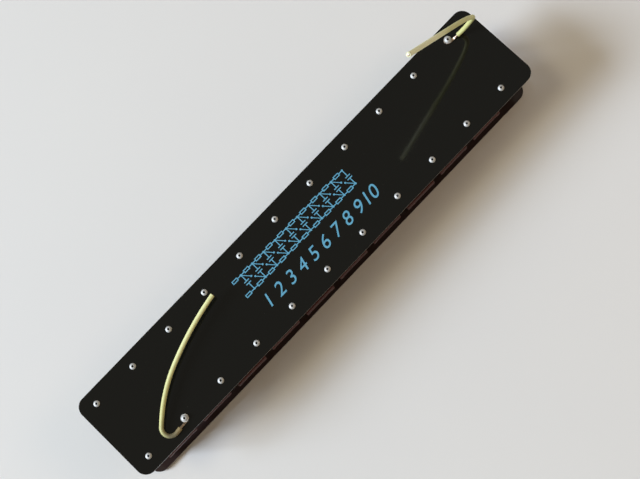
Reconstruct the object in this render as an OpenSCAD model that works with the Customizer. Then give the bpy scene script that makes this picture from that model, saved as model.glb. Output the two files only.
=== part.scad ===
// Ten-stage Marx generator between two acrylic plates.
// X runs along the plates from the input end to the output end, Y across them, Z up.
// The origin is on the table, under the middle of the plates.

/* [Plates] */
// Spacing of the post columns along the plates
pitch = 45; // [42:1:60]
// Spacing of the two post rows, centre to centre
row_gap = 65; // [58:1:80]
// Plate beyond the first column, at the input end
near_margin = 16; // [12:1:40]
// Plate beyond the last column, at the output end
far_margin = 32; // [12:1:60]
// Plate beyond each row
side_margin = 12.5; // [11.5:0.5:20]
// Thickness of both plates
plate_t = 3; // [2:0.5:5]
// Corner radius of the plates
corner_r = 10; // [2:1:11]

/* [Posts] */
// Length of the brass posts, which is the space between the plates
post_l = 60; // [54:1:80]
// Size of the posts across their flats
post_af = 5.5; // [5:0.5:7]
// Depth of the thread in each end of a post
thread_depth = 12; // [8:1:20]
// Chamfer on the corners of a post's ends
post_chamfer = 0.5; // [0.2:0.1:0.8]

/* [Screws] */
// Thread diameter
screw_d = 3; // [2.5:0.5:3.5]
// Diameter of the button heads
head_d = 5.7; // [5.2:0.1:6.5]
// Height of the button heads
head_h = 1.65; // [1.4:0.05:2.2]
// Diameter of the flat on top of a head
head_flat_d = 2.9; // [2.7:0.1:3.2]
// Height of a head's straight rim
head_rim = 0.25; // [0.1:0.05:0.5]
// Size of the hexagon socket across its flats
socket_af = 2; // [1.5:0.1:2.2]
// Depth of the hexagon socket
socket_depth = 1.04; // [0.8:0.02:1.2]
// How far a screw reaches into its post
screw_grip = 5; // [4:0.5:7]
// Chamfer on a screw's tip
tip_chamfer = 0.4; // [0.2:0.1:0.6]
// Diameter of the washers on the two output terminals
washer_d = 7; // [6:0.5:9]
// Thickness of those washers
washer_t = 0.5; // [0.4:0.1:1]

/* [Output leads] */
// Diameter over the insulation
lead_d = 4.2; // [3.4:0.1:4.8]
// Diameter of the solid copper inside
core_d = 2.25; // [1.5:0.05:2.5]
// Thickness of the copper eye, pressed flat under its washer
eye_t = 1.5; // [1.2:0.1:1.6]
// How far the eye goes round its screw, in degrees
eye_turn = 265; // [240:5:270]
// Copper left showing past the cut end of the insulation
tip_bare = 0.4; // [0.2:0.1:2]
// Straight copper between the eye and the first bend of each lead
neck = 2.4; // [2:0.1:4]
// Radius of the low lead's step up from its eye
low_step_r = 5; // [4:0.5:8]
// Straight copper in the middle of that step
low_step_run = 1.6; // [1:0.1:3]
// Copper between that step and the insulation
low_step_out = 0.5; // [0.3:0.1:2]
// Straight insulation before the low lead's hook
low_start = 5; // [4:0.5:8]
// Radius of the hook
low_hook_r = 7.5; // [6:0.5:10]
// Radius of the long arc of the low lead
low_sweep_r = 143; // [120:1:180]
// Radius of the low lead's flatter end
low_end_r = 315; // [250:5:400]
// Radius of the high lead's step up from its eye
high_step_r = 6; // [4:0.5:8]
// Copper between that step and the insulation
high_step_out = 4.2; // [2:0.1:6]
// Radii of the high lead's three bends, from its foot up
high_foot_r = 17; // [14:1:24]
high_knee_r = 37; // [30:1:50]
high_end_r = 240; // [200:5:300]
// Straight wire between the first two of them
high_shin = 8.9; // [4:0.1:15]
// Straight end of the high lead
high_reach = 100; // [60:5:120]

/* [Charging resistors] */
// Diameter of a resistor's body
resistor_d = 8; // [6:0.5:8]
// Length of a resistor's body
resistor_l = 36; // [28:1:36]
// Diameter over the end bands
band_d = 8.4; // [8.2:0.1:8.8]
// Width of an end band
band_w = 4; // [2:0.5:8]
// Rounding of the body's ends
resistor_round = 1; // [0.5:0.1:2]
// Height of the resistors' axes over the lower plate
resistor_rise = 11.5; // [8:0.5:20]
// Distance of the resistors' axes from the posts' outer flats
resistor_out = 2.9; // [2.8:0.1:4.5]
// Diameter of the tinned leads of resistors and capacitors
tin_d = 0.9; // [0.6:0.1:1]
// Bend radius of those leads
tin_bend = 1.7; // [1.5:0.1:2]
// Distance of a resistor's lead from the middle of its post's flat
tin_offset = 0.8; // [0.7:0.1:0.9]
// Diameter of the solder on a post's flat
solder_d = 3; // [2.8:0.1:3.1]
// Height of the solder
solder_h = 0.9; // [0.5:0.1:1.2]

/* [Stage capacitors] */
// Diameter of a capacitor's disc
disc_d = 18; // [12:1:24]
// Thickness of a disc
disc_t = 7; // [4:0.5:10]
// Rounding of a disc's edge
disc_round = 2.4; // [1:0.1:2.6]
// Spacing of a capacitor's two leads
disc_leads = 9.5; // [7.5:0.5:10]
// Diameter of the coating that runs down each lead
skirt_d = 2.2; // [1.8:0.1:2.6]
// Length of that coating below the disc
skirt_l = 1.5; // [1:0.5:4]
// Thickness of that coating where it ends on the lead
skirt_edge = 0.15; // [0.1:0.05:0.3]
// Height of the capacitors' leads over the lower plate
disc_lead_rise = 20; // [14:1:24]
// Upright part of each capacitor lead
disc_leg = 3; // [1:0.5:6]

/* [Spark gaps] */
// Diameter of the copper electrodes
rod_d = 3; // [2:0.5:3]
// Clear gap between the two round tips
spark_gap = 5; // [2:0.5:12]
// Distance of the electrodes below the upper plate
rod_drop = 10; // [6:1:13]
// Straight part of an electrode where it leaves its post
rod_stub = 3; // [2:0.5:6]
// Bend radius of an electrode
rod_bend = 6; // [4:0.5:10]

/* [Fits] */
// Clearance round a screw in a plate, a washer or an eye
hole_gap = 0.1; // [0.05:0.01:0.1]
// Clearance round a screw in its post's thread
thread_gap = 0.03; // [0.02:0.01:0.08]
// Clearance between copper and insulation
core_gap = 0.03; // [0.02:0.01:0.08]

/* [Hidden] */

// Ten stages, and the column where the charging voltage comes in
stages = 10;
columns = stages + 1;
// The low output terminal stands on the right row and the high one on the left row
low_column = 2;
high_column = columns;
left = 1;
right = -1;

plate_l = near_margin + (columns - 1) * pitch + far_margin;
plate_w = row_gap + 2 * side_margin;
lower_z = head_h;
post_z = lower_z + plate_t;
upper_z = post_z + post_l;
top_z = upper_z + plate_t;
hole_d = screw_d + 2 * hole_gap;

// Levels of the wiring between the plates
resistor_z = post_z + resistor_rise;
disc_lead_z = post_z + disc_lead_rise;
rod_z = upper_z - rod_drop;
resistor_y = row_gap / 2 + post_af / 2 + resistor_out;
// How far each bay's resistor stands out of line, as hand soldering leaves it
soldered_out = [-0.5, -0.5, 0.6, -0.4, 0.7, 0, -0.3, 0.7, 0.1, -0.2];

// The eye of each output lead lies round its screw and the lead leaves it along a tangent
eye_r = screw_d / 2 + hole_gap + core_d / 2;
lead_z = top_z + eye_t / 2;
// Bends of the output leads, as a wire bender lists them:
// straight feed, turn of the bending plane, bend radius, bend angle, and half the height
// of the copper where it is pressed flat
eye = [[0, 0, eye_r, eye_turn, eye_t / 2]];
low_bare = [
    [neck, -90, low_step_r, 26, eye_t / 2],
    [low_step_run, 180, low_step_r, 26],
    [low_step_out, 0, 0, 0]
];
low_bends = [
    [low_start, -99, low_hook_r, 142],
    [0, 0, low_sweep_r, 22],
    [0, 0, low_end_r, 12.7]
];
low_yaw = 5.8;
high_bare = [
    [neck, 97.2, high_step_r, 30, eye_t / 2],
    [high_step_out, 0, 0, 0]
];
high_bends = [
    [0, 0, high_foot_r, 44],
    [high_shin, 0, high_knee_r, 38],
    [0, 0, high_end_r, 15.7],
    [high_reach, 0, 0, 0]
];
high_yaw = -4.5;
tip = [[tip_bare, 0, 0, 0]];
// Sides of the swept wires, and how far a chord of a bend may lie off its arc
lead_sides = 12;
rod_sides = 8;
sweep_error = 0.05;
// How far a cutting or trimming shape reaches past its piece
overcut = post_chamfer / 5;

function column_x(i) = near_margin + (i - 1) * pitch - plate_l / 2;
function row_y(side) = side * row_gap / 2;

// Two-dimensional outlines

module rounded_plate() {
    square([plate_l - 2 * corner_r, plate_w], center = true);
    square([plate_l, plate_w - 2 * corner_r], center = true);
    for (sx = [-1, 1], sy = [-1, 1])
        translate([sx * (plate_l / 2 - corner_r), sy * (plate_w / 2 - corner_r)])
            circle(r = corner_r, $fn = 64);
}

module ring(outer, inner) {
    difference() {
        circle(d = outer, $fn = 32);
        if (inner > 0) circle(d = inner, $fn = 32);
    }
}

// Wire with one square bend: up from the origin, round towards +X, and along it

module square_bent_wire(leg, radius, run, diameter) {
    cylinder(d = diameter, h = leg, $fn = 32);
    translate([radius, 0, leg]) rotate([90, 0, 0]) rotate([0, 0, 90])
        rotate_extrude(angle = 90, $fn = 64) translate([radius, 0]) circle(d = diameter, $fn = 32);
    translate([radius, 0, leg + radius]) rotate([0, 90, 0]) cylinder(d = diameter, h = run, $fn = 32);
}

// Wire swept along a list of bends. It starts at the origin along +Z and bends towards +X.
// A station of the sweep is its frame, the turn that the bending plane has made so far, the
// wire's radius there, and half its height where it is pressed flat.

function shift_by(x, z) = [[1, 0, 0, x], [0, 1, 0, 0], [0, 0, 1, z], [0, 0, 0, 1]];
function roll_by(a) = [[cos(a), -sin(a), 0, 0], [sin(a), cos(a), 0, 0], [0, 0, 1, 0], [0, 0, 0, 1]];
function pitch_by(a) = [[cos(a), 0, sin(a), 0], [0, 1, 0, 0], [-sin(a), 0, cos(a), 0], [0, 0, 0, 1]];
function along_arc(radius, a) = shift_by(radius * (1 - cos(a)), radius * sin(a)) * pitch_by(a);

// Steps of an arc whose chords stay close to it
function arc_steps(radius, a) = ceil(a / (2 * acos(1 - sweep_error / radius)));

function bend_stations(bends, r, frame = shift_by(0, 0), rolled = 0, i = 0) =
    i == len(bends) ? [] :
    let (
        bend = bends[i],
        half = is_undef(bend[4]) ? r : bend[4],
        begin = frame * shift_by(0, bend[0]) * roll_by(bend[1]),
        turned = rolled + bend[1],
        steps = bend[3] > 0 ? arc_steps(bend[2], bend[3]) : 0
    )
    concat(
        i == 0 ? [[frame, rolled, r, half]] : [],
        bend[0] > 0 ? [[begin, turned, r, half]] : [],
        [for (k = [1 : 1 : steps]) [begin * along_arc(bend[2], bend[3] * k / steps), turned, r, half]],
        bend_stations(bends, r, begin * along_arc(bend[2], bend[3]), turned, i + 1)
    );

// Rings that close a wire's end with a round tip
function round_tip(last) =
    [for (a = [25, 50, 75]) [last[0] * shift_by(0, last[2] * sin(a)), last[1], last[2] * cos(a), last[3]]];

// Frame at the end of a list of bends
function bends_end(bends, frame = shift_by(0, 0), i = 0) =
    i == len(bends) ? frame :
    bends_end(bends, frame * shift_by(0, bends[i][0]) * roll_by(bends[i][1])
        * along_arc(bends[i][2], bends[i][3]), i + 1);

function rolled_by(bends) = [for (bend = bends) bend[1]] * [for (bend = bends) 1];

function ring_points(station, radius, half, sides) = [
    for (j = [0 : sides - 1])
        let (
            a = 360 * (j + 0.5) / sides,
            x = radius * cos(a),
            y = max(-half, min(half, radius * sin(a))),
            back = -station[1],
            place = station[0] * [x * cos(back) - y * sin(back), x * sin(back) + y * cos(back), 0, 1]
        )
        [place[0], place[1], place[2]]
];

function side_faces(rings, sides, first, inward) = [
    for (k = [0 : rings - 2], j = [0 : sides - 1], half = [0, 1])
        let (
            low = first + k * sides,
            high = low + sides,
            next = (j + 1) % sides,
            tri = half == 0 ? [low + j, high + j, high + next] : [low + j, high + next, low + next]
        )
        inward ? [tri[2], tri[1], tri[0]] : tri
];

module swept(stations, sides, bore_r = 0) {
    rings = len(stations);
    outer = [for (s = stations) each ring_points(s, s[2], s[3], sides)];
    inner = bore_r > 0 ? [for (s = stations) each ring_points(s, bore_r, bore_r, sides)] : [];
    last = (rings - 1) * sides;
    ends = bore_r > 0
        ? [for (j = [0 : sides - 1])
            let (next = (j + 1) % sides, hole = rings * sides)
            each [
                [j, next, hole + next, hole + j],
                [last + next, last + j, hole + last + j, hole + last + next]
            ]]
        : [[for (j = [0 : sides - 1]) j], [for (j = [sides - 1 : -1 : 0]) last + j]];
    polyhedron(concat(outer, inner), concat(
        side_faces(rings, sides, 0, false),
        bore_r > 0 ? side_faces(rings, sides, rings * sides, true) : [],
        ends
    ));
}

// Plates and posts

module drilled_plate(z) {
    translate([0, 0, z]) linear_extrude(plate_t) difference() {
        rounded_plate();
        for (i = [1 : columns], side = [left, right])
            translate([column_x(i), row_y(side)]) circle(d = hole_d, $fn = 32);
    }
}

module top_plate() {
    color([0.05, 0.05, 0.05]) drilled_plate(upper_z);
}

module bottom_plate() {
    color([0.05, 0.05, 0.05]) drilled_plate(lower_z);
}

// Hexagonal standoff, tapped at both ends, with its corners turned down at the ends
module post() {
    corner_d = post_af / cos(30);
    difference() {
        intersection() {
            cylinder(d = corner_d, h = post_l, $fn = 6);
            union() {
                cylinder(d1 = corner_d - 2 * post_chamfer, d2 = corner_d + overcut, h = post_chamfer, $fn = 48);
                translate([0, 0, post_chamfer])
                    cylinder(d = corner_d + overcut, h = post_l - 2 * post_chamfer, $fn = 48);
                translate([0, 0, post_l - post_chamfer])
                    cylinder(d1 = corner_d + overcut, d2 = corner_d - 2 * post_chamfer, h = post_chamfer, $fn = 48);
            }
        }
        for (z = [-overcut, post_l - thread_depth])
            translate([0, 0, z]) cylinder(d = screw_d + 2 * thread_gap, h = thread_depth + overcut, $fn = 32);
    }
}

module post_row(side) {
    color([0.8, 0.65, 0.3])
        for (i = [1 : columns]) translate([column_x(i), row_y(side), post_z]) post();
}

// Fasteners

// Button-head screw pointing down, with the underside of its head at the origin
module button_screw(length) {
    rim_r = head_d / 2;
    flat_r = head_flat_d / 2;
    dome_h = head_h - head_rim;
    drop = (rim_r * rim_r - flat_r * flat_r - dome_h * dome_h) / (2 * dome_h);
    dome_r = sqrt(rim_r * rim_r + drop * drop);
    difference() {
        union() {
            intersection() {
                cylinder(d = head_d, h = head_h, $fn = 48);
                translate([0, 0, head_rim - drop]) sphere(r = dome_r, $fn = 48);
            }
            translate([0, 0, -length + tip_chamfer])
                cylinder(d = screw_d, h = length - tip_chamfer + head_rim / 2, $fn = 32);
            translate([0, 0, -length])
                cylinder(d1 = screw_d - 2 * tip_chamfer, d2 = screw_d, h = tip_chamfer, $fn = 32);
        }
        translate([0, 0, head_h - socket_depth])
            cylinder(d = socket_af / cos(30), h = socket_depth + overcut, $fn = 6);
    }
}

// Columns of one row whose top screw isn't an output terminal
function plain_columns(side) =
    [for (i = [1 : columns]) if (i != (side == left ? high_column : low_column)) i];

module top_screws(side) {
    color("silver")
        for (i = plain_columns(side))
            translate([column_x(i), row_y(side), top_z]) button_screw(plate_t + screw_grip);
}

module bottom_screws(side) {
    color("silver")
        for (i = [1 : columns])
            translate([column_x(i), row_y(side), lower_z]) mirror([0, 0, 1]) button_screw(plate_t + screw_grip);
}

module terminal_screw(column, side) {
    stack = eye_t + washer_t;
    color("silver") translate([column_x(column), row_y(side), top_z + stack])
        button_screw(stack + plate_t + screw_grip);
}

module terminal_washer(column, side) {
    color("silver") translate([column_x(column), row_y(side), top_z + eye_t])
        linear_extrude(washer_t) ring(washer_d, hole_d);
}

// Output leads: solid copper, bent round its screw, in stiff insulation that stands up by itself.
// The lead's end lies flat under its washer as an eye, steps up to clear the plate and then runs
// in its insulation. Seen from above, the low lead's eye turns one way and the high lead's the other.

module lead_place(column, side, toward, yaw) {
    translate([column_x(column), row_y(side), lead_z]) rotate([0, 0, yaw - 90 - toward * eye_turn])
        translate([eye_r, 0, 0]) multmatrix([[-1, 0, 0, 0], [0, 0, toward, 0], [0, toward, 0, 0], [0, 0, 0, 1]])
            children();
}

module lead_core(column, side, toward, yaw, bare, bends) {
    color([0.75, 0.45, 0.3]) lead_place(column, side, toward, yaw)
        swept(bend_stations(concat(eye, bare, bends, tip), core_d / 2), lead_sides);
}

module lead_insulation(column, side, toward, yaw, bare, bends) {
    start = concat(eye, bare);
    color([0.85, 0.87, 0.6]) lead_place(column, side, toward, yaw) multmatrix(bends_end(start))
        swept(bend_stations(bends, lead_d / 2, rolled = rolled_by(start)), lead_sides, core_d / 2 + core_gap);
}

// Charging resistors: one in every bay of both rows, outboard of the posts

function bay_x(bay) = column_x(bay) + pitch / 2;
function bay_y(bay) = resistor_y + soldered_out[bay - 1];

module resistor(bay, side) {
    body_r = resistor_d / 2;
    band_r = band_d / 2;
    color([0.5, 0.15, 0.15])
        translate([bay_x(bay) - resistor_l / 2, side * bay_y(bay), resistor_z]) rotate([0, 90, 0])
            rotate_extrude($fn = 48) {
                translate([0, band_w / 2]) square([body_r, resistor_l - band_w]);
                for (z = [0, resistor_l - band_w]) {
                    translate([0, z]) square([band_r - resistor_round, band_w]);
                    translate([0, z + resistor_round]) square([band_r, band_w - 2 * resistor_round]);
                    for (edge = [resistor_round, band_w - resistor_round])
                        translate([band_r - resistor_round, z + edge]) circle(r = resistor_round, $fn = 24);
                }
            }
}

// Lead from a resistor's end to the outer flat of its post, at one end of the bay
module resistor_lead(bay, side, end) {
    run_in = bay_y(bay) - row_gap / 2 - post_af / 2 - tin_bend;
    feed = (pitch - resistor_l) / 2 - tin_offset - tin_bend;
    translate([bay_x(bay) + end * resistor_l / 2, side * bay_y(bay), resistor_z])
        rotate([0, end * 90, 0]) rotate([0, 0, side * -90])
            square_bent_wire(feed, tin_bend, run_in, tin_d);
}

// Solder on a post's flat, spreading towards the flat
module solder(x, side, facing, z) {
    translate([x, row_y(side) + facing * post_af / 2, z]) rotate([facing * -90, 0, 0])
        cylinder(d1 = solder_d, d2 = solder_d / 2, h = solder_h, $fn = 32);
}

module resistor_leads(side) {
    color("silver") {
        for (bay = [1 : stages], end = [-1, 1]) resistor_lead(bay, side, end);
        for (i = [1 : columns]) solder(column_x(i), side, side, resistor_z);
    }
}

// Stage capacitors: coated ceramic discs standing across the columns

disc_edge = sqrt(pow(disc_d / 2, 2) - pow(disc_leads / 2, 2));
skirt_z = disc_lead_z + tin_bend + disc_leg;
disc_z = skirt_z + skirt_l + disc_edge;

module capacitor(stage) {
    disc_r = disc_d / 2;
    color([0.15, 0.3, 0.65]) translate([column_x(stage + 1), 0, 0]) {
        translate([0, 0, disc_z]) rotate([0, 90, 0]) rotate_extrude($fn = 64) {
            translate([0, -disc_t / 2]) square([disc_r - disc_round, disc_t]);
            translate([0, disc_round - disc_t / 2]) square([disc_r, disc_t - 2 * disc_round]);
            for (half = [-1, 1])
                translate([disc_r - disc_round, half * (disc_t / 2 - disc_round)])
                    circle(r = disc_round, $fn = 32);
        }
        for (half = [-1, 1])
            translate([0, half * disc_leads / 2, skirt_z])
                cylinder(d1 = tin_d + 2 * skirt_edge, d2 = skirt_d, h = skirt_l + skirt_d / 2, $fn = 32);
    }
}

// Lead from a disc down and out to the inner flat of its post
module capacitor_lead(stage, side) {
    run_out = row_gap / 2 - post_af / 2 - disc_leads / 2 - tin_bend;
    translate([column_x(stage + 1), side * disc_leads / 2, skirt_z])
        rotate([180, 0, 0]) rotate([0, 0, side * -90])
            square_bent_wire(disc_leg, tin_bend, run_out, tin_d);
}

module capacitor_leads() {
    color("silver")
        for (stage = [1 : stages], side = [left, right]) {
            capacitor_lead(stage, side);
            solder(column_x(stage + 1), side, -side, disc_lead_z);
        }
}

// Spark gaps: two bent rods that face each other across a bay, from one stage's left post
// to the next stage's right post. An electrode leaves its post square to the flat, bends,
// and then points at the middle of the bay.

rod_out = row_gap / 2 - post_af / 2 - rod_stub;
rod_aim = atan((pitch / 2 - rod_bend) / rod_out);
rod_line = sqrt(pow(pitch / 2 - rod_bend, 2) + pow(rod_out, 2) - pow(rod_bend, 2));
rod_angle = rod_aim + atan(rod_bend / rod_line);

module electrode() {
    straight = rod_line - (rod_d + spark_gap) / 2;
    rod = bend_stations([[rod_stub, 0, rod_bend, rod_angle], [straight, 0, 0, 0]], rod_d / 2);
    swept(concat(rod, round_tip(rod[len(rod) - 1])), rod_sides);
}

module spark_gap_pair(stage) {
    color([0.75, 0.45, 0.3])
        for (side = [left, right])
            translate([column_x(side == left ? stage + 1 : stage + 2), side * (row_gap - post_af) / 2, rod_z])
                rotate([side * 90, 0, 0]) rotate([0, 0, side == left ? 0 : 180]) electrode();
}

top_plate();
bottom_plate();
post_row(left);  // posts_left
post_row(right);  // posts_right
top_screws(left);  // top_screws_left
top_screws(right);  // top_screws_right
bottom_screws(left);  // bottom_screws_left
bottom_screws(right);  // bottom_screws_right
terminal_screw(low_column, right);  // terminal_screw_low
terminal_screw(high_column, left);  // terminal_screw_high
terminal_washer(low_column, right);  // terminal_washer_low
terminal_washer(high_column, left);  // terminal_washer_high
lead_core(low_column, right, -1, low_yaw, low_bare, low_bends);  // low_lead_core
lead_insulation(low_column, right, -1, low_yaw, low_bare, low_bends);  // low_lead_insulation
lead_core(high_column, left, 1, high_yaw, high_bare, high_bends);  // high_lead_core
lead_insulation(high_column, left, 1, high_yaw, high_bare, high_bends);  // high_lead_insulation
resistor(1, left);  // resistor_left_1
resistor(2, left);  // resistor_left_2
resistor(3, left);  // resistor_left_3
resistor(4, left);  // resistor_left_4
resistor(5, left);  // resistor_left_5
resistor(6, left);  // resistor_left_6
resistor(7, left);  // resistor_left_7
resistor(8, left);  // resistor_left_8
resistor(9, left);  // resistor_left_9
resistor(10, left);  // resistor_left_10
resistor(1, right);  // resistor_right_1
resistor(2, right);  // resistor_right_2
resistor(3, right);  // resistor_right_3
resistor(4, right);  // resistor_right_4
resistor(5, right);  // resistor_right_5
resistor(6, right);  // resistor_right_6
resistor(7, right);  // resistor_right_7
resistor(8, right);  // resistor_right_8
resistor(9, right);  // resistor_right_9
resistor(10, right);  // resistor_right_10
resistor_leads(left);  // resistor_leads_left
resistor_leads(right);  // resistor_leads_right
capacitor(1);  // capacitor_1
capacitor(2);  // capacitor_2
capacitor(3);  // capacitor_3
capacitor(4);  // capacitor_4
capacitor(5);  // capacitor_5
capacitor(6);  // capacitor_6
capacitor(7);  // capacitor_7
capacitor(8);  // capacitor_8
capacitor(9);  // capacitor_9
capacitor(10);  // capacitor_10
capacitor_leads();
spark_gap_pair(1);  // spark_gap_1
spark_gap_pair(2);  // spark_gap_2
spark_gap_pair(3);  // spark_gap_3
spark_gap_pair(4);  // spark_gap_4
spark_gap_pair(5);  // spark_gap_5
spark_gap_pair(6);  // spark_gap_6
spark_gap_pair(7);  // spark_gap_7
spark_gap_pair(8);  // spark_gap_8
spark_gap_pair(9);  // spark_gap_9
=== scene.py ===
# Ten-stage high-voltage generator: two long black acrylic plates on brass posts, wired between
# them, with two stiff output leads on top. Places are in metres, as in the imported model.

import math

import bmesh
import bpy
from mathutils import Matrix, Vector, noise


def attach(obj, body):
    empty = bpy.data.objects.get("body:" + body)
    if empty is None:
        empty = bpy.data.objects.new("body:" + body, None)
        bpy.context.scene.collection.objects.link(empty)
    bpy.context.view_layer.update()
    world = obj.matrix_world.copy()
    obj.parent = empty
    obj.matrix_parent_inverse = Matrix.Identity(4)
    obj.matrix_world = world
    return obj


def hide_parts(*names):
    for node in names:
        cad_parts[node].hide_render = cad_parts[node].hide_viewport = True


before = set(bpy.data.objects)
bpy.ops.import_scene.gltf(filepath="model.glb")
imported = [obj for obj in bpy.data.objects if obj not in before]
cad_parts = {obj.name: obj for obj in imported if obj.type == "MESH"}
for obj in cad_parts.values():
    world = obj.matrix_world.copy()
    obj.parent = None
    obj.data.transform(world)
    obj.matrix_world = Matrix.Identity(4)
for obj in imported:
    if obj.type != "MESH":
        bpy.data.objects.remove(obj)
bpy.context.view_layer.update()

# The view. The set is seen from almost straight above, from about a metre over the table, with
# the plates running from the lower left to the upper right of the picture.

mm = 0.001
camera_place = (-69.9 * mm, -161.0 * mm, 1116.8 * mm)
camera_turns = (8.663, 3.090, -46.221)


def put(name, data):
    """Puts a new object with this data into the scene."""
    thing = bpy.data.objects.new(name, data)
    bpy.context.scene.collection.objects.link(thing)
    return thing


camera_lens = bpy.data.cameras.new("camera")
camera_lens.sensor_width = 36
camera_lens.lens = 67.5
camera_lens.clip_start = 0.05
camera_lens.clip_end = 60
camera = put("camera", camera_lens)
camera.location = camera_place
camera.rotation_euler = [math.radians(turn) for turn in camera_turns]
bpy.context.scene.camera = camera
bpy.context.scene.view_settings.view_transform = "Standard"

# The room. Cool window light comes low from the charging end and the left, with weaker warm light
# above it, and a small warm lamp stands on the right. The walls are pale and the ceiling is dim.

warm_wall = (0.42, 0.33, 0.20)
pale_wall = (0.68, 0.66, 0.61)
dim_wall = (0.07, 0.06, 0.04)
ceiling = (0.215, 0.205, 0.172)


def soft_lamp(name, place, size, power, colour):
    """A square lamp that shines at the set."""
    light = bpy.data.lights.new(name, "AREA")
    light.shape = "SQUARE"
    light.size = size
    light.energy = power
    light.color = colour
    lamp = put(name, light)
    lamp.location = place
    lamp.rotation_euler = (-lamp.location).to_track_quat("-Z", "Y").to_euler()


soft_lamp("low_window", (-5.35, 2.85, 3.50), 2.6, 606, (0.765, 0.87, 1.0))
soft_lamp("high_window", (-2.87, 2.01, 6.06), 1.6, 75, (1.0, 0.87, 0.60))
soft_lamp("room_lamp", (1.21, -0.57, 1.49), 0.8, 4.5, (1.0, 0.66, 0.42))

room = bpy.data.worlds.new("room")
room.use_nodes = True
bpy.context.scene.world = room
room_tree = room.node_tree
room_light = room_tree.nodes["Background"]


def wall_share(direction, start, end):
    """How far a look into the room has turned from start to end along this direction."""
    look = room_tree.nodes.new("ShaderNodeTexCoord")
    along = room_tree.nodes.new("ShaderNodeVectorMath")
    along.operation = "DOT_PRODUCT"
    along.inputs[1].default_value = direction
    room_tree.links.new(look.outputs["Generated"], along.inputs[0])
    share = room_tree.nodes.new("ShaderNodeMapRange")
    share.interpolation_type = "SMOOTHSTEP"
    share.inputs["From Min"].default_value = start
    share.inputs["From Max"].default_value = end
    room_tree.links.new(along.outputs["Value"], share.inputs["Value"])
    return share.outputs["Result"]


def wall_mix(share, first, second):
    """Paints one part of the room with the first colour and the other with the second."""
    paint = room_tree.nodes.new("ShaderNodeMix")
    paint.data_type = "RGBA"
    room_tree.links.new(share, paint.inputs["Factor"])
    for socket, colour in ((paint.inputs["A"], first), (paint.inputs["B"], second)):
        if isinstance(colour, tuple):
            socket.default_value = (*colour, 1)
        else:
            room_tree.links.new(colour, socket)
    return paint.outputs["Result"]


walls = wall_mix(wall_share((0, 1, 0), -0.8, 0.3), warm_wall, pale_wall)
dimmed_walls = wall_mix(wall_share((0, 0, 1), 0.30, 0.60), walls, dim_wall)
whole_room = wall_mix(wall_share((0, 0, 1), 0.70, 0.88), dimmed_walls, ceiling)
room_tree.links.new(whole_room, room_light.inputs["Color"])

# The table top: pale, matt and smooth, with a hardly visible cloudiness. The set stands on it on
# the heads of its lower screws.

table_half = 9
table_ends = ((-1, -1), (1, -1), (1, 1), (-1, 1))


def plain_finish(name, colour, roughness, metallic=0.0, ior=1.5):
    """A finish in one colour. Grain, stains and relief are laid over it afterwards."""
    finish = bpy.data.materials.new(name)
    finish.use_nodes = True
    shader = finish.node_tree.nodes["Principled BSDF"]
    shader.inputs["Base Color"].default_value = (*colour, 1)
    shader.inputs["Roughness"].default_value = roughness
    shader.inputs["Metallic"].default_value = metallic
    shader.inputs["IOR"].default_value = ior
    return finish


def grain(finish, size, stretch=(1, 1, 1), detail=3):
    """Cloudy grain of this size, drawn out along some of the axes."""
    tree = finish.node_tree
    place = tree.nodes.new("ShaderNodeTexCoord")
    drawn = tree.nodes.new("ShaderNodeMapping")
    drawn.inputs["Scale"].default_value = [1 / (size * part) for part in stretch]
    clouds = tree.nodes.new("ShaderNodeTexNoise")
    clouds.inputs["Scale"].default_value = 1
    clouds.inputs["Detail"].default_value = detail
    tree.links.new(place.outputs["Object"], drawn.inputs["Vector"])
    tree.links.new(drawn.outputs["Vector"], clouds.inputs["Vector"])
    return clouds.outputs["Fac"]


def spread(finish, value, low, high, start=0.3, end=0.7):
    """Takes a value that runs from start to end to one that runs from low to high."""
    span = finish.node_tree.nodes.new("ShaderNodeMapRange")
    for name, number in (("From Min", start), ("From Max", end), ("To Min", low), ("To Max", high)):
        span.inputs[name].default_value = number
    finish.node_tree.links.new(value, span.inputs["Value"])
    return span.outputs["Result"]


def stain(finish, share, colour):
    """Lays another colour over what the finish has so far, as strongly as share says."""
    tree = finish.node_tree
    base = tree.nodes["Principled BSDF"].inputs["Base Color"]
    blend = tree.nodes.new("ShaderNodeMix")
    blend.data_type = "RGBA"
    blend.inputs["A"].default_value = base.default_value
    blend.inputs["B"].default_value = (*colour, 1)
    if base.is_linked:
        tree.links.new(base.links[0].from_socket, blend.inputs["A"])
    tree.links.new(share, blend.inputs["Factor"])
    tree.links.new(blend.outputs["Result"], base)


def clouded(finish, size, colour, most, least=0):
    """Lays clouds of another colour over the finish, from least to most strongly."""
    stain(finish, spread(finish, grain(finish, size), least, most), colour)


def relief(finish, size, depth, stretch=(1, 1, 1), detail=3):
    """Gives the surface bumps of this size, up to depth high."""
    tree = finish.node_tree
    bump = tree.nodes.new("ShaderNodeBump")
    bump.inputs["Distance"].default_value = depth
    tree.links.new(grain(finish, size, stretch, detail), bump.inputs["Height"])
    tree.links.new(bump.outputs["Normal"], tree.nodes["Principled BSDF"].inputs["Normal"])


table_finish = plain_finish("table_top", (0.80, 0.80, 0.80), 0.7)
clouded(table_finish, 250 * mm, (0.785, 0.785, 0.79), 1)
relief(table_finish, 1.5 * mm, 0.02 * mm)
table_corners = [(x * table_half, y * table_half, 0) for x, y in table_ends]
table_mesh = bpy.data.meshes.new("table")
table_mesh.from_pydata(table_corners, [], [(0, 1, 2, 3)])
table_mesh.materials.append(table_finish)
put("table", table_mesh)

# The two plates: 3 mm black cast acrylic, laser cut with their screw holes. The faces are
# polished, with faint wipe marks and dust, and the cut edges show fine upright lines.

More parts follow.
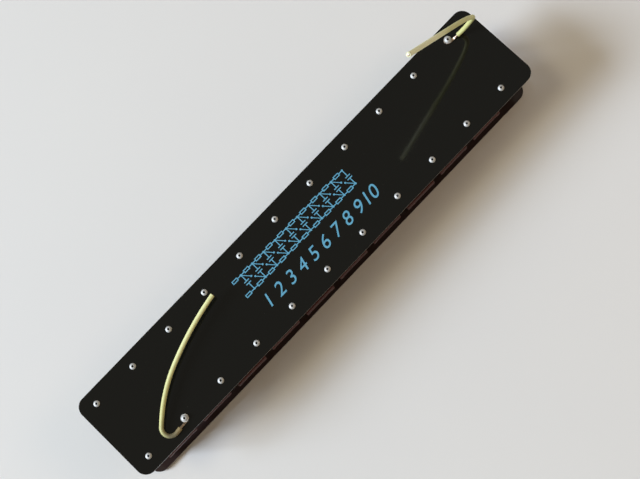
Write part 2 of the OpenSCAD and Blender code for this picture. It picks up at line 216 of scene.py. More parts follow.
columns = range(1, 12)
pitch = 45 * mm
row_gap = 65 * mm
near_margin = 16 * mm
plate_length = 498 * mm
plate_width = 90 * mm
plate_thickness = 3 * mm
plate_corner = 10 * mm
plate_hole = 3.2 * mm
edge_break = 0.12 * mm
corner_steps = 24
flat_enough = 0.9
lower_plate_z = 1.65 * mm
upper_plate_z = 64.65 * mm
dust_colour = (0.16, 0.155, 0.145)


def column_x(column):
    """Place of a column of posts along the plates, counted from the charging end."""
    return near_margin + (column - 1) * pitch - plate_length / 2


def loop(curve, points):
    """Adds a closed line to a flat curve."""
    line = curve.splines.new("POLY")
    line.points.add(len(points) - 1)
    for point, (x, y) in zip(line.points, points):
        point.co = (x, y, 0, 1)
    line.use_cyclic_u = True


def arc_points(x, y, radius, start, turn, steps):
    """Points along an arc, with its angles in degrees."""
    angles = [math.radians(start + turn * step / steps) for step in range(steps + 1)]
    return [(x + radius * math.cos(a), y + radius * math.sin(a)) for a in angles]


def ring_points(x, y, radius, sides):
    """Points all round a circle."""
    return arc_points(x, y, radius, 0, 360 - 360 / sides, sides - 1)


def plate_outline(name):
    """The plate's round corners and its holes, as a flat curve as thick as the sheet."""
    outline = bpy.data.curves.new(name, "CURVE")
    outline.dimensions = "2D"
    outline.fill_mode = "BOTH"
    outline.extrude = plate_thickness / 2 - edge_break
    outline.bevel_depth = edge_break
    outline.bevel_resolution = 1
    outline.offset = -edge_break
    corner_x = plate_length / 2 - plate_corner
    corner_y = plate_width / 2 - plate_corner
    rounded = []
    for end, side, start in ((1, 1, 0), (-1, 1, 90), (-1, -1, 180), (1, -1, 270)):
        rounded += arc_points(end * corner_x, side * corner_y, plate_corner, start, 90, corner_steps)
    loop(outline, rounded)
    for column in columns:
        for side in (-1, 1):
            loop(outline, ring_points(column_x(column), side * row_gap / 2, plate_hole / 2, 36))
    return outline


def cut_plate(name, node, z, face_finish):
    """A plate with its corner rounds, holes and slightly broken edges."""
    drawn = bpy.data.objects.new(name + "_outline", plate_outline(name))
    mesh = bpy.data.meshes.new_from_object(drawn)
    bpy.data.objects.remove(drawn)
    mesh.transform(Matrix.Translation((0, 0, z + plate_thickness / 2)))
    mesh.materials.clear()
    mesh.materials.append(face_finish)
    mesh.materials.append(cut_acrylic)
    for face in mesh.polygons:
        face.material_index = 1 if abs(face.normal.z) < flat_enough else 0
    plate = put(name, mesh)
    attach(plate, "frame")
    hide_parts(node)


def dulled(finish, size, low, high, stretch=(1, 1, 1)):
    """Makes the surface unevenly dull, from low to high, in patches of this size."""
    patches = spread(finish, grain(finish, size, stretch), low, high)
    finish.node_tree.links.new(patches, finish.node_tree.nodes["Principled BSDF"].inputs["Roughness"])


def dust(finish, apart, speck, colour):
    """Specks of dust that lie about this far apart, up to speck across."""
    tree = finish.node_tree
    place = tree.nodes.new("ShaderNodeTexCoord")
    cells = tree.nodes.new("ShaderNodeTexVoronoi")
    cells.inputs["Scale"].default_value = 1 / apart
    tree.links.new(place.outputs["Object"], cells.inputs["Vector"])
    reach = speck / apart
    heart = reach * 0.3
    stain(finish, spread(finish, cells.outputs["Distance"], 1, 0, heart, reach), colour)


def polished_acrylic(name, colour):
    """The faces of the sheet, with wipe marks and dust."""
    finish = plain_finish(name, colour, 0.05, ior=1.49)
    dulled(finish, 50 * mm, 0.055, 0.095, (1.6, 0.8, 1))
    relief(finish, 60 * mm, 0.06 * mm, detail=1)
    dust(finish, 9 * mm, 0.16 * mm, dust_colour)
    return finish


wiped_acrylic = polished_acrylic("wiped_acrylic", (0.0045, 0.0045, 0.004))
# The lower plate's faces are a lighter reddish brown than the upper plate's.
browner_acrylic = polished_acrylic("browner_acrylic", (0.03, 0.019, 0.018))
cut_acrylic = plain_finish("cut_acrylic", (0.006, 0.0055, 0.005), 0.28, ior=1.49)
relief(cut_acrylic, 0.4 * mm, 0.01 * mm, (1, 1, 30))
cut_plate("lower_acrylic", "bottom_plate", lower_plate_z, browner_acrylic)
cut_plate("upper_acrylic", "top_plate", upper_plate_z, wiped_acrylic)

# The screws and washers: stainless steel button heads with hexagon sockets, tumbled bright. The
# lower ones are also the feet, and each output lead is held by a longer one on a washer.

rows = {"left": 1, "right": -1}
terminals = {"left": 11, "right": 2}
upper_face_z = upper_plate_z + plate_thickness
screw_radius = 1.5 * mm
screw_grip = 5 * mm
head_radius = 2.85 * mm
head_height = 1.65 * mm
head_flat = 1.3 * mm
head_rim = 0.5 * mm
head_break = 0.08 * mm
dome_steps = 10
socket_half = 1 * mm
socket_depth = 1.04 * mm
socket_break = 0.07 * mm
socket_cone = 0.35 * mm
socket_point = 0.1 * mm
tip_chamfer = 0.4 * mm
washer_stack = 2 * mm
# How closely walls stand round a hollow before shade is painted into it, and how strongly.
shade_reach = 1.6 * mm
shade_full = 0.6
shade_none = 0.95
weld_gap = 0.001 * mm
sharpest_smooth = 38

# How far a screw's socket is turned for each column and each row, in degrees.
column_turn = 37
row_turn = 11


def skin(rings, endless=False):
    """Points and faces of a skin over a row of rings. An endless row joins up with its first ring."""
    sides = len(rings[0])
    points = [tuple(point) for ring in rings for point in ring]
    faces = []
    for row in range(len(rings) if endless else len(rings) - 1):
        here = row * sides
        there = (row + 1) % len(rings) * sides
        for side in range(sides):
            after = (side + 1) % sides
            faces.append((here + side, here + after, there + after, there + side))
    if not endless:
        faces.append(tuple(reversed(range(sides))))
        faces.append(tuple(range(len(points) - sides, len(points))))
    return points, faces


def circle(radius, height, sides=48):
    """A level ring of points."""
    turns = [math.tau * side / sides for side in range(sides)]
    return [(radius * math.cos(turn), radius * math.sin(turn), height) for turn in turns]


def hexagon(half, height, sides=48):
    """A ring of points round a hexagon that is this far across from its middle to its flats."""
    turns = [math.tau * side / sides for side in range(sides)]
    reach = [half / math.cos((turn + math.pi / 6) % (math.pi / 3) - math.pi / 6) for turn in turns]
    return [(r * math.cos(t), r * math.sin(t), height) for r, t in zip(reach, turns)]


def joined(name, shapes, weld=None):
    """One mesh out of several shapes, each with its place. Points closer than weld become one."""
    work = bmesh.new()
    for (points, faces), place in shapes:
        made = [work.verts.new(place @ Vector(point)) for point in points]
        for face in faces:
            work.faces.new([made[corner] for corner in face])
    if weld:
        bmesh.ops.remove_doubles(work, verts=work.verts, dist=weld)
        bmesh.ops.recalc_face_normals(work, faces=work.faces)
    mesh = bpy.data.meshes.new(name)
    work.to_mesh(mesh)
    work.free()
    return mesh


def build(name, shapes, finish, body, node=None):
    """One piece out of several shapes, each with its place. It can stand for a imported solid."""
    mesh = joined(name, shapes, weld_gap)
    mesh.materials.append(finish)
    mesh.shade_smooth()
    mesh.set_sharp_from_angle(angle=math.radians(sharpest_smooth))
    piece = put(name, mesh)
    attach(piece, body)
    if node:
        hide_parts(node)


def button_screw(length):
    """A button-head screw pointing down, with the underside of its head at the origin."""
    dome = head_height - head_rim
    drop = (head_radius**2 - head_flat**2 - dome**2) / (2 * dome)
    dome_radius = math.hypot(head_radius, drop)
    profile = [(screw_radius - tip_chamfer, -length), (screw_radius, tip_chamfer - length)]
    profile += [(screw_radius, 0), (head_radius - head_break, 0), (head_radius, head_break)]
    rim_angle = math.asin(head_radius / dome_radius)
    flat_angle = math.asin(head_flat / dome_radius)
    for step in range(dome_steps + 1):
        angle = rim_angle + (flat_angle - rim_angle) * step / dome_steps
        profile.append((dome_radius * math.sin(angle), head_rim - drop + dome_radius * math.cos(angle)))
    rings = [circle(radius, height) for radius, height in profile]
    rings.append(hexagon(socket_half + socket_break, head_height))
    rings.append(hexagon(socket_half, head_height - socket_break))
    rings.append(hexagon(socket_half, head_height - socket_depth))
    rings.append(circle(socket_point, head_height - socket_depth - socket_cone))
    return skin(rings)


def grime(finish, reach, colour):
    """Paints shade into the hollows of a finish, where walls stand closer than reach."""
    hollow = finish.node_tree.nodes.new("ShaderNodeAmbientOcclusion")
    hollow.inputs["Distance"].default_value = reach
    hollow.only_local = True
    stain(finish, spread(finish, hollow.outputs["AO"], 1, 0, shade_full, shade_none), colour)


def post_line(column, side, z):
    """Place on the middle line of a post, at this height."""
    return Matrix.Translation((column_x(column), side * row_gap / 2, z))


def dress(finish, *names):
    """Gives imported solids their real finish."""
    for name in names:
        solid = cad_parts[name]
        solid.data.materials.clear()
        solid.data.materials.append(finish)


bright_steel = plain_finish("bright_steel", (0.66, 0.67, 0.675), 0.3, metallic=1)
dulled(bright_steel, 0.9 * mm, 0.62, 0.78)
relief(bright_steel, 0.5 * mm, 0.012 * mm)
# The steel is painted darker in its hollows, such as the sockets, as painted shade.
grime(bright_steel, shade_reach, (0.04, 0.037, 0.033))
short_screw = button_screw(plate_thickness + screw_grip)
for row, side in rows.items():
    upper = []
    lower = []
    for column in columns:
        spin = Matrix.Rotation(math.radians(column_turn * column + row_turn * side), 4, "Z")
        if column != terminals[row]:
            upper.append((short_screw, post_line(column, side, upper_face_z) @ spin))
        head_down = Matrix.Rotation(math.pi, 4, "X")
        lower.append((short_screw, post_line(column, side, lower_plate_z) @ head_down @ spin))
    build(f"upper_screws_{row}", upper, bright_steel, "frame", f"top_screws_{row}")
    build(f"lower_screws_{row}", lower, bright_steel, "frame", f"bottom_screws_{row}")
long_screw = button_screw(washer_stack + plate_thickness + screw_grip)
for name, row in (("low", "right"), ("high", "left")):
    place = post_line(terminals[row], rows[row], upper_face_z + washer_stack)
    node = f"terminal_screw_{name}"
    build(f"{name}_screw", [(long_screw, place)], bright_steel, "frame", node)
dress(bright_steel, "terminal_washer_low", "terminal_washer_high")

# The posts: drawn hexagon brass, turned down a little at both ends and tapped. They carry the
# upper plate and are also the points where the circuit is joined.

drawn_brass = plain_finish("drawn_brass", (0.78, 0.56, 0.25), 0.3, metallic=1)
dulled(drawn_brass, 1.2 * mm, 0.22, 0.42, (1, 1, 12))
clouded(drawn_brass, 8 * mm, (0.55, 0.36, 0.16), 0.6)
relief(drawn_brass, 0.3 * mm, 0.006 * mm, (1, 1, 40))
dress(drawn_brass, "posts_left", "posts_right")

# The charging resistors: ceramic rods with end caps under a glossy dark red coat, which creeps a
# little way up their wires. One lies in every bay outside both rows of posts.

bays = range(1, 11)
post_size = 5.5 * mm
post_z = lower_plate_z + plate_thickness
resistor_half = 18 * mm
resistor_radius = 4.0 * mm
cap_radius = 4.2 * mm
cap_edge = 1.1 * mm
cap_width = 4 * mm
resistor_z = post_z + 11.5 * mm
resistor_y = row_gap / 2 + post_size / 2 + 2.9 * mm

# How far the two resistors of each bay lie out of line, in millimetres.
out_of_line = [-0.5, -0.5, 0.6, -0.4, 0.7, 0, -0.3, 0.7, 0.1, -0.2]

# Radius of the coat on the wire and how far out it lies from the cap, in millimetres.
coat_on_wire = [(0.5, 0.7), (0.56, 0.4), (0.8, 0.15), (1.4, 0)]

# How much wider the coat is than the body and how far out from the cap's inner edge it is so.
coat_over_cap = [(0.2, 0.5), (0.17, 0.2), (0.07, -0.5), (0, -1.2)]


def turned(profile, sides=48):
    """A turned shape round Z, from the radius and the height of its profile's points."""
    return skin([circle(radius, height, sides) for radius, height in profile])


def rounding(radius, height, edge, start, steps=8):
    """Profile of a quarter round of an edge round this centre, from its start angle on."""
    return arc_points(radius, height, edge, start, 90, steps)


def resistor_end(half):
    """Profile of one end of a resistor, from the wire to the middle of the body."""
    wire_foot = [(radius * mm, half + height * mm) for radius, height in coat_on_wire]
    centre = cap_radius - cap_edge
    shoulder = [(2 * centre - r, z) for r, z in rounding(centre, half - cap_edge, cap_edge, 90)]
    step = half - cap_width
    waist = [(resistor_radius + over * mm, step + away * mm) for over, away in coat_over_cap]
    return wire_foot + shoulder + waist


def bay_place(bay, side):
    """Middle of a resistor, in its bay and row."""
    return Vector((column_x(bay) + pitch / 2, side * (resistor_y + out_of_line[bay - 1] * mm), resistor_z))


resistor_coat = plain_finish("resistor_coat", (0.075, 0.012, 0.012), 0.2)
dulled(resistor_coat, 4 * mm, 0.14, 0.3)
clouded(resistor_coat, 35 * mm, (0.04, 0.006, 0.012), 0.6)
relief(resistor_coat, 3 * mm, 0.05 * mm)
one_end = resistor_end(resistor_half)
resistor_shape = turned(one_end + [(radius, -height) for radius, height in reversed(one_end)])
for row, side in rows.items():
    for bay in bays:
        place = Matrix.Translation(bay_place(bay, side)) @ Matrix.Rotation(math.pi / 2, 4, "Y")
        name = f"resistor_{row}_{bay}"
        build(f"coated_{name}", [(resistor_shape, place)], resistor_coat, "frame", name)

# The wires of the resistors: tinned copper, bent once each and soldered to the outer flat of their
# post. The two that meet on a post share one round drop of solder.

tin_radius = 0.45 * mm
tin_bend = 1.7 * mm
tin_offset = 0.8 * mm
tin_step = 5 * mm
bend_step = 9

# Radius and height of a drop of solder, from its foot to its top, in millimetres.
drop_sizes = [(1.5, 0), (1.42, 0.1), (1.36, 0.35), (1.22, 0.65), (0.9, 0.86), (0.4, 0.95)]


def in_mm(profile):
    """A profile that is given in millimetres."""
    return [(radius * mm, height * mm) for radius, height in profile]


def along_bend(radius, angle):
    """Frame at the end of a bend of this radius and angle, from a start along Z towards X."""
    reach = Matrix.Translation((radius * (1 - math.cos(angle)), 0, radius * math.sin(angle)))
    return reach @ Matrix.Rotation(angle, 4, "Y")


def bent_wire(bends, step):
    """Frames along a wire that is bent as on a wire bender, with each frame's length of wire and
    the turn of the bending plane so far. A bend is a straight feed, a turn, a radius and an angle."""
    here = Matrix()
    length = 0
    turned_so_far = 0
    frames = [(here, length, turned_so_far)]
    for feed, turn, radius, angle in bends:
        feed_steps = math.ceil(feed / step)
        for part in range(1, feed_steps + 1):
            along = feed * part / feed_steps
            frames.append((here @ Matrix.Translation((0, 0, along)), length + along, turned_so_far))
        here = here @ Matrix.Translation((0, 0, feed)) @ Matrix.Rotation(math.radians(turn), 4, "Z")
        length += feed
        turned_so_far += math.radians(turn)
        arc = math.radians(angle)
        arc_steps = math.ceil(max(radius * arc / step, angle / bend_step))
        for part in range(1, arc_steps + 1):
            bent = arc * part / arc_steps
            frames.append((here @ along_bend(radius, bent), length + radius * bent, turned_so_far))
        here = here @ along_bend(radius, arc)
        length += radius * arc
    return frames


def wire_rings(frames, section, sides=24):
    """Rings along a wire. section gives a point of its outline for a length of wire, the angle
    round the wire, and the angle from the inner side of the bend."""
    around = [math.tau * side / sides for side in range(sides)]
    rings = []
    for here, length, turn in frames:
        level = here @ Matrix.Rotation(-turn, 4, "Z")
        rings.append([level @ Vector((*section(length, angle, angle - turn), 0)) for angle in around])
    return rings


def round_section(radius):
    """The outline of a round wire, the same all along."""

    def outline(length, angle, inner):
        return radius * math.cos(angle), radius * math.sin(angle)

    return outline


def tinned(bends):
    """A tinned wire with these bends."""
    return skin(wire_rings(bent_wire(bends, tin_step), round_section(tin_radius)))


def on_flat(column, side, facing, z):
    """Place on the middle of a post's flat, with Z away from the post."""
    foot = Vector((column_x(column), side * row_gap / 2 + facing * post_size / 2, z))
    return Matrix.Translation(foot) @ Matrix.Rotation(facing * -math.pi / 2, 4, "X")


tinned_wire = plain_finish("tinned_wire", (0.62, 0.62, 0.60), 0.3, metallic=1)
dulled(tinned_wire, 0.8 * mm, 0.22, 0.42)
clouded(tinned_wire, 5 * mm, (0.36, 0.34, 0.30), 0.5)
relief(tinned_wire, 0.9 * mm, 0.03 * mm)
solder_drop = turned(in_mm(drop_sizes), sides=32)
for row, side in rows.items():
    soldered = [(solder_drop, on_flat(column, side, side, resistor_z)) for column in columns]
    for bay in bays:
        middle = bay_place(bay, side)
        run_out = pitch / 2 - resistor_half - tin_offset - tin_bend
        run_in = abs(middle.y) - row_gap / 2 - post_size / 2 - tin_bend
        wire = tinned([(run_out, 0, tin_bend, 90), (run_in, 0, 0, 0)])
        for end in (-1, 1):
            start = Matrix.Translation(middle + Vector((end * resistor_half, 0, 0)))
            aim = Matrix.Rotation(end * math.pi / 2, 4, "Y") @ Matrix.Rotation(side * -math.pi / 2, 4, "Z")
            soldered.append((wire, start @ aim))
    build(f"resistor_wires_{row}", soldered, tinned_wire, "frame", f"resistor_leads_{row}")

# The stage capacitors: ceramic discs dipped in blue resin, which runs down both wires. The wires
# go out to the inner flats of the two posts of their column and are soldered there.

stages = range(1, 11)
disc_radius = 9 * mm
disc_half = 3.5 * mm
disc_round = 2.4 * mm
disc_face_rings = (4 * mm, 0.5 * mm)
disc_wire_gap = 9.5 * mm
disc_wire_z = post_z + 20 * mm
disc_leg = 3 * mm
skirt_length = 1.5 * mm
skirt_z = disc_wire_z + tin_bend + disc_leg
disc_z = skirt_z + skirt_length + math.sqrt(disc_radius**2 - (disc_wire_gap / 2) ** 2)
resin_cell = 0.3 * mm
resin_passes = 6

# Radius and height of a skirt of resin and of a fillet of solder, from below, in millimetres.
skirt_sizes = [(0.62, 0), (0.66, 0.2), (0.85, 0.8), (1.2, 1.6), (1.9, 2.6), (2.3, 4.5)]
fillet_sizes = [(1.5, 0), (1.1, 0.1), (0.8, 0.3), (0.62, 0.6), (0.5, 0.95)]


def smoothed(shapes, cell, passes):
    """Melts closed shapes into one smooth skin, with the grain of cell."""
    lump = put("melted", joined("melted", shapes))
    melt = lump.modifiers.new("melt", "REMESH")
    melt.mode = "VOXEL"
    melt.voxel_size = cell
    even = lump.modifiers.new("even", "SMOOTH")
    even.iterations = passes
    even.factor = 0.5
    melted = bpy.data.meshes.new_from_object(lump.evaluated_get(bpy.context.evaluated_depsgraph_get()))
    bpy.data.objects.remove(lump)
    points = [tuple(point.co) for point in melted.vertices]
    return points, [tuple(face.vertices) for face in melted.polygons]


def dipped_disc():
    """A coated disc on edge across X, with the resin's skirts at its two wires."""
    profile = rounding(disc_radius - disc_round, disc_half - disc_round, disc_round, 0)
    profile += [(radius, disc_half) for radius in disc_face_rings]
    disc = turned([(radius, -height) for radius, height in reversed(profile)] + profile, sides=64)
    skirt = turned(in_mm(skirt_sizes), sides=24)
    shapes = [(disc, Matrix.Rotation(math.pi / 2, 4, "Y"))]
    for side in (-1, 1):
        shapes.append((skirt, Matrix.Translation((0, side * disc_wire_gap / 2, skirt_z - disc_z))))
    return smoothed(shapes, resin_cell, resin_passes)


blue_resin = plain_finish("blue_resin", (0.028, 0.085, 0.30), 0.25)
dulled(blue_resin, 5 * mm, 0.2, 0.36)
clouded(blue_resin, 12 * mm, (0.018, 0.06, 0.24), 0.5)
relief(blue_resin, 2.5 * mm, 0.06 * mm)
resin_disc = dipped_disc()
solder_fillet = turned(in_mm(fillet_sizes), sides=32)
disc_run = row_gap / 2 - post_size / 2 - disc_wire_gap / 2 - tin_bend
disc_wire = tinned([(disc_leg, 0, tin_bend, 90), (disc_run, 0, 0, 0)])
soldered = []
for stage in stages:
    disc_place = Matrix.Translation((column_x(stage + 1), 0, disc_z))
    name = f"capacitor_{stage}"
    build(f"dipped_{name}", [(resin_disc, disc_place)], blue_resin, "frame", name)
    for side in (1, -1):
        top = Matrix.Translation((column_x(stage + 1), side * disc_wire_gap / 2, skirt_z))
        aim = Matrix.Rotation(math.pi, 4, "X") @ Matrix.Rotation(side * -math.pi / 2, 4, "Z")
        soldered.append((disc_wire, top @ aim))
        soldered.append((solder_fillet, on_flat(stage + 1, side, -side, disc_wire_z)))
build("capacitor_wires", soldered, tinned_wire, "frame", "capacitor_leads")

# The spark gaps: bare copper rods, bent towards each other across every bay, with rounded tips.
# Each is soldered to its post high under the upper plate.

gaps = range(1, 10)
rod_radius = 1.5 * mm
rod_z = post_z + 50 * mm
rod_stub = 3 * mm
rod_bend = 6 * mm
rod_gap = 5 * mm
rod_step = 6 * mm
rod_out = row_gap / 2 - post_size / 2 - rod_stub
rod_side = pitch / 2 - rod_bend
rod_line = math.sqrt(rod_side**2 + rod_out**2 - rod_bend**2)
rod_angle = math.degrees(math.atan2(rod_side, rod_out) + math.atan2(rod_bend, rod_line))
rod_straight = rod_line - rod_radius - rod_gap / 2
tip_steps = 9
collar_steps = 6
collar_height = 1.08 * mm
collar_flare = 0.8 * mm
collar_swell = 1.03


def spark_rod():
    """A rod with its bend and its round tip, which starts on its post and runs along Z."""
    frames = bent_wire([(rod_stub, 0, rod_bend, rod_angle), (rod_straight, 0, 0, 0)], rod_step)
    rings = wire_rings(frames, round_section(rod_radius))
    tip = frames[-1][0]
    for step in range(1, tip_steps):
        angle = math.pi / 2 * step / tip_steps
        rise = tip @ Matrix.Translation((0, 0, rod_radius * math.sin(angle)))
        rings += wire_rings([(rise, 0, 0)], round_section(rod_radius * math.cos(angle)))
    return skin(rings)


def solder_collar():
    """Solder round the foot of a rod, which runs out up and down the flat of the post."""
    rings = []
    for step in range(collar_steps + 1):
        swell = 1 + collar_flare * (1 - step / collar_steps) ** 2 / rod_radius
        foot = circle(rod_radius, collar_height * step / collar_steps, sides=32)
        rings.append([(x * collar_swell, y * swell, z) for x, y, z in foot])
    return skin(rings)


def aged_copper(name):
    """Bare copper, browned in patches."""
    copper = plain_finish(name, (0.62, 0.31, 0.20), 0.3, metallic=1)
    dulled(copper, 2 * mm, 0.22, 0.45)
    clouded(copper, 6 * mm, (0.40, 0.17, 0.10), 0.8)
    relief(copper, 0.8 * mm, 0.01 * mm)
    return copper


bare_copper = aged_copper("bare_copper")
rod = spark_rod()
collar = solder_collar()
collars = []
for stage in gaps:
    pair = []
    for side, column, flip in ((1, stage + 1, 0), (-1, stage + 2, math.pi)):
        root = Matrix.Translation((column_x(column), side * (row_gap - post_size) / 2, rod_z))
        aim = Matrix.Rotation(side * math.pi / 2, 4, "X") @ Matrix.Rotation(flip, 4, "Z")
        pair.append((rod, root @ aim))
        collars.append((collar, root @ aim))
    build(f"spark_rods_{stage}", pair, bare_copper, "frame", f"spark_gap_{stage}")
build("rod_solder", collars, tinned_wire, "frame")

# The two output leads: solid copper in pale yellow-green insulation, stiff enough to stand by
# themselves. An eye pressed flat lies round the terminal screw, and the wire steps up from it.

lead_radius = 2.1 * mm
core_radius = 1.125 * mm
bore_radius = 1.155 * mm
eye_half = 0.75 * mm
eye_radius = 2.725 * mm
eye_turn = 265
eye = [(0, 0, eye_radius, eye_turn)]
lead_z = upper_face_z + eye_half
lead_step = 0.5 * mm
lead_sides = 36
flat_fade = 1.5 * mm
tip_bare = 0.4 * mm
cut_edge = 0.25 * mm
cut_rings = (0, 0.02 * mm, 0.08 * mm, 0.16 * mm, cut_edge)
cut_clear = 0.4 * mm
fold_pitch = 1.35 * mm
fold_depth = 0.11 * mm
fold_fade = 3 * mm
waver_depth = 0.03 * mm
waver_length = 7 * mm


def in_metres(bends):
    """Bends with their feeds and radii given in millimetres."""
    return [(feed * mm, turn, radius * mm, angle) for feed, turn, radius, angle in bends]


def wire_length(bends):
    """Length of wire in a list of bends."""
    return sum(feed + radius * math.radians(angle) for feed, turn, radius, angle in bends)


def ease(value, start, end):
    """Runs softly from 0 at start to 1 at end."""
    share = min(1, max(0, (value - start) / (end - start)))
    return share * share * (3 - 2 * share)


def broken_edge(away):
    """How much a cut end's edge is rounded off at this distance from the cut."""
    return cut_edge - math.sqrt(max(0, cut_edge**2 - (cut_edge - away) ** 2)) if away < cut_edge else 0


def cut_run(frames, start, end):
    """Frames of a wire from one cut to the other, close together at both."""
    first = min(frames, key=lambda one: abs(one[1] - start))
    last = min(frames, key=lambda one: abs(one[1] - end))
    head = [(first[0] @ Matrix.Translation((0, 0, inset)), start + inset, first[2]) for inset in cut_rings]
    tail = [(last[0] @ Matrix.Translation((0, 0, -inset)), end - inset, last[2]) for inset in cut_rings]
    between = [one for one in frames if start + cut_clear < one[1] < end - cut_clear]
    return head + between + tail[::-1]


def copper_section(flat_end, end):
    """The outline of the copper, which is flat round the screw and round after flat_end."""

    def outline(length, angle, inner):
        radius = core_radius - broken_edge(min(length, end - length))
        half = eye_half + (core_radius - eye_half) * ease(length, flat_end, flat_end + flat_fade)
        return radius * math.cos(angle), max(-half, min(half, radius * math.sin(angle)))

    return outline


def sheath_section(start, end, pinch_start, pinch_end, waver):
    """The outline of the insulation, with small folds inside the bend where it is pinched. Each
    waver gives it another slight unevenness."""

    def outline(length, angle, inner):
        radius = lead_radius - broken_edge(min(length - start, end - length))
        pinched = ease(length, pinch_start, pinch_start + fold_fade)
        pinched *= 1 - ease(length, pinch_end - fold_fade, pinch_end)
        fold = 0.5 - 0.5 * math.cos(math.tau * (length - pinch_start) / fold_pitch)
        radius -= fold_depth * pinched * fold * max(0, math.cos(inner)) ** 2
        radius -= waver_depth * (1 + noise.noise(Vector((length / waver_length, waver, 0))))
        return radius * math.cos(angle), radius * math.sin(angle)

    return outline


def lead_place(column, side, toward, yaw):
    """Place where a lead's wire starts, at the end of the eye that lies round its screw."""
    spin = Matrix.Rotation(math.radians(yaw - 90 - toward * eye_turn), 4, "Z")
    lying = Matrix(((-1, 0, 0, 0), (0, 0, toward, 0), (0, toward, 0, 0), (0, 0, 0, 1)))
    return post_line(column, side, lead_z) @ spin @ Matrix.Translation((eye_radius, 0, 0)) @ lying


def output_lead(name, column, place, bare, run, pinch, finish):
    """The lead on this column's screw. bare and run are the bends of its bare and its covered wire,
    and pinch is the stretch of folds in its cover. It gives the places of the cover's two ends."""
    bare = in_metres(bare)
    run = in_metres(run)
    flat_end = wire_length(eye + bare[:1])
    start = wire_length(eye + bare)
    end = start + wire_length(run)
    frames = bent_wire(eye + bare + run + [(tip_bare, 0, 0, 0)], lead_step)
    copper = cut_run(frames, 0, end + tip_bare)
    core = skin(wire_rings(copper, copper_section(flat_end, end + tip_bare)))
    build(f"{name}_copper", [(core, place)], lead_copper, name, f"{name}_core")
    covered = cut_run(frames, start, end)
    section = sheath_section(start, end, start + pinch[0] * mm, start + pinch[1] * mm, column)
    outside = wire_rings(covered, section, lead_sides)
    inside = wire_rings(covered[::-1], round_section(bore_radius), lead_sides)
    cover = skin(outside + inside, endless=True)
    build(f"{name}_sheath", [(cover, place)], finish, name, f"{name}_insulation")
    return (place @ covered[0][0]).translation, (place @ covered[-1][0]).translation


def near(finish, place, full, none):
    """How close a point lies to this place: 1 up to full away, 0 from none away."""
    tree = finish.node_tree
    point = tree.nodes.new("ShaderNodeTexCoord")
    apart = tree.nodes.new("ShaderNodeVectorMath")
    apart.operation = "DISTANCE"
    apart.inputs[1].default_value = place
    tree.links.new(point.outputs["Object"], apart.inputs[0])
    return spread(finish, apart.outputs["Value"], 1, 0, full, none)


def sheath_finish(name):
    """Soft pale yellow-green plastic, a little uneven."""
    finish = plain_finish(name, (0.79, 0.80, 0.41), 0.5)
    clouded(finish, 14 * mm, (0.74, 0.74, 0.36), 0.5)
    dulled(finish, 3 * mm, 0.46, 0.62)
    relief(finish, 1.2 * mm, 0.03 * mm)
    return finish


lead_copper = aged_copper("lead_copper")
clouded(lead_copper, 1 * mm, (0.42, 0.38, 0.30), 0.9, 0.6)
low_sheath = sheath_finish("low_sheath")

# The bends of the bare and of the covered wire, and the stretch of folds, in millimetres and degrees.
low_bare = [(2.4, -90, 5, 26), (1.6, 180, 5, 26), (0.5, 0, 0, 0)]
low_run = [(5, -99, 7.5, 142), (0, 0, 143, 22), (0, 0, 315, 12.7)]
low_folds = (4, 24.6)
low_place = lead_place(2, -1, toward=-1, yaw=5.8)
low_cut = output_lead("low_lead", 2, low_place, low_bare, low_run, low_folds, low_sheath)[0]

# The low lead's insulation is painted darker out to about 62 mm from its cut end, as painted shade on the
# stretch that faces the window. Nearer its cut end beside the screw it is darker and browner still.
stain(low_sheath, near(low_sheath, low_cut, 25 * mm, 62 * mm), (0.63, 0.62, 0.27))
stain(low_sheath, near(low_sheath, low_cut, 12 * mm, 19 * mm), (0.18, 0.16, 0.095))
stain(low_sheath, near(low_sheath, low_cut, 1 * mm, 9 * mm), (0.31, 0.23, 0.10))

# The high lead rises from its screw in one wide curve.
high_sheath = sheath_finish("high_sheath")
high_bare = [(2.4, 97.2, 6, 30), (4.2, 0, 0, 0)]
high_run = [(0, 0, 17, 44), (8.9, 0, 37, 38), (0, 0, 240, 15.7), (100, 0, 0, 0)]
high_folds = (0, 13)
high_place = lead_place(11, 1, toward=1, yaw=-4.5)
high_cut, high_tip = output_lead("high_lead", 11, high_place, high_bare, high_run, high_folds, high_sheath)

# Its insulation is darker over its lower part and dull at the very end. The paler band towards the tip is
# a painted highlight.
stain(high_sheath, near(high_sheath, high_cut, 112 * mm, 145 * mm), (0.60, 0.60, 0.25))
stain(high_sheath, near(high_sheath, high_tip, 55 * mm, 85 * mm), (0.86, 0.87, 0.56))
stain(high_sheath, near(high_sheath, high_tip, 1 * mm, 3 * mm), (0.66, 0.67, 0.44))

# The marking on the upper plate: one thin coat of light blue ink, screen printed. It shows the
# circuit of the ten stages with charging resistors, capacitors and gaps, and numbers them.

ink_coat = 0.03 * mm
ink_line = 0.9 * mm
fine_line = 0.7 * mm
marked_pitch = 14.4 * mm
middle_stage = 5.5
high_rail = 19.5 * mm
low_rail = 2.5 * mm
rail_start = 0.3 * marked_pitch
box_half_long = 2.8 * mm
box_half_high = 1.2 * mm
plate_gap = 2.6 * mm
plate_half = 2.4 * mm
joint_radius = 1.0 * mm
tip_radius = 0.9 * mm
gap_start = 0.42
gap_end = 0.58
number_size = 18 * mm
number_drop = 20 * mm
number_slant = 0.25
prints = []

# Where prints cross, the later one has a little more ink, so that no two faces share a plane.
rail_coats = 1
box_side_coats = 1.1
box_end_coats = 1.2
riser_coats = 1.3
plate_coats = 1.4
joint_coats = 1.5
gap_coats = 1.6
tip_coats = 1.7


def inked(outline, coats):
    """Prints a filled outline on the upper plate."""
    levels = (upper_face_z, upper_face_z + coats * ink_coat)
    prints.append((skin([[(x, y, z) for x, y in outline] for z in levels]), Matrix()))


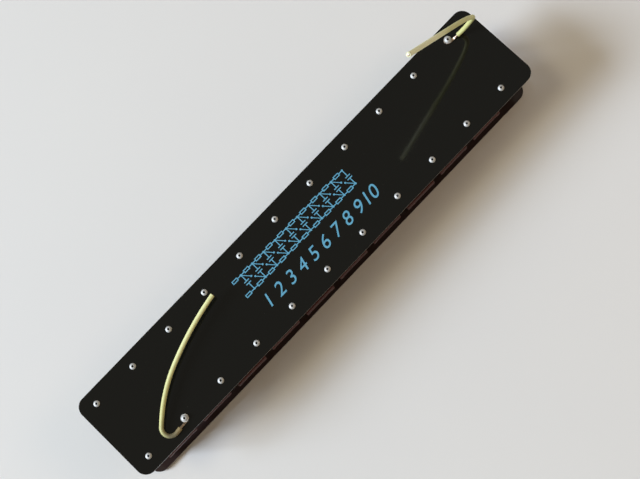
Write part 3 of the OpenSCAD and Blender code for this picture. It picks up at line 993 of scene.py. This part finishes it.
def inked_line(start, end, coats, width=ink_line):
    """Prints a straight line."""
    along = (Vector(end) - Vector(start)).normalized() * width / 2
    across = Vector((-along.y, along.x))
    start = Vector(start) - along
    end = Vector(end) + along
    corners = (start - across, end - across, end + across, start + across)
    inked([tuple(corner) for corner in corners], coats)


def inked_dot(x, y, radius, coats):
    """Prints a round dot."""
    inked(ring_points(x, y, radius, 24), coats)


def marked_x(stage):
    """Place of a stage in the drawn circuit."""
    return (stage - middle_stage) * marked_pitch


def inked_rail(y):
    """Prints one side of the circuit, with the box of a charging resistor before each stage."""
    for stage in stages:
        middle = marked_x(stage) - marked_pitch / 2
        left = middle - box_half_long
        right = middle + box_half_long
        start = marked_x(stage - 1) + (0 if stage > 1 else rail_start)
        inked_line((start, y), (left, y), rail_coats)
        inked_line((right, y), (marked_x(stage), y), rail_coats)
        for side, end in ((-1, left), (1, right)):
            edge = y + side * box_half_high
            inked_line((left, edge), (right, edge), box_side_coats)
            inked_line((end, y - box_half_high), (end, y + box_half_high), box_end_coats)


def inked_capacitor(x):
    """Prints the capacitor of a stage between the two rails, with a dot at each joint."""
    middle = (high_rail + low_rail) / 2
    for side, rail in ((1, high_rail), (-1, low_rail)):
        plate_y = middle + side * plate_gap / 2
        inked_line((x, rail), (x, plate_y), riser_coats)
        inked_line((x - plate_half, plate_y), (x + plate_half, plate_y), plate_coats)
        inked_dot(x, rail, joint_radius, joint_coats)


def inked_gap(x):
    """Prints the spark gap from a stage's high side to the next stage's low side."""
    start = Vector((x, high_rail))
    across = Vector((marked_pitch, low_rail - high_rail))
    for first, last in ((0, gap_start), (gap_end, 1)):
        inked_line(start + across * first, start + across * last, gap_coats, fine_line)
    for part in (gap_start, gap_end):
        inked_dot(*(start + across * part), tip_radius, tip_coats)


def inked_number(x, number):
    """Prints a slanting number under the circuit."""
    text = bpy.data.curves.new("number", "FONT")
    text.body = str(number)
    text.size = number_size
    text.shear = number_slant
    text.align_x = "CENTER"
    figure = bpy.data.objects.new("number", text)
    mesh = bpy.data.meshes.new_from_object(figure)
    bpy.data.objects.remove(figure)
    z = upper_face_z + ink_coat
    points = [(point.co.x + x, point.co.y - number_drop, z) for point in mesh.vertices]
    prints.append(((points, [tuple(face.vertices) for face in mesh.polygons]), Matrix()))


ink = plain_finish("blue_ink", (0.13, 0.42, 0.62), 0.45)
clouded(ink, 3 * mm, (0.09, 0.34, 0.55), 0.5)
inked_rail(high_rail)
inked_rail(low_rail)
for stage in stages:
    inked_capacitor(marked_x(stage))
    if stage in gaps:
        inked_gap(marked_x(stage))
    inked_number(marked_x(stage), stage)
build("stage_marking", prints, ink, "frame")
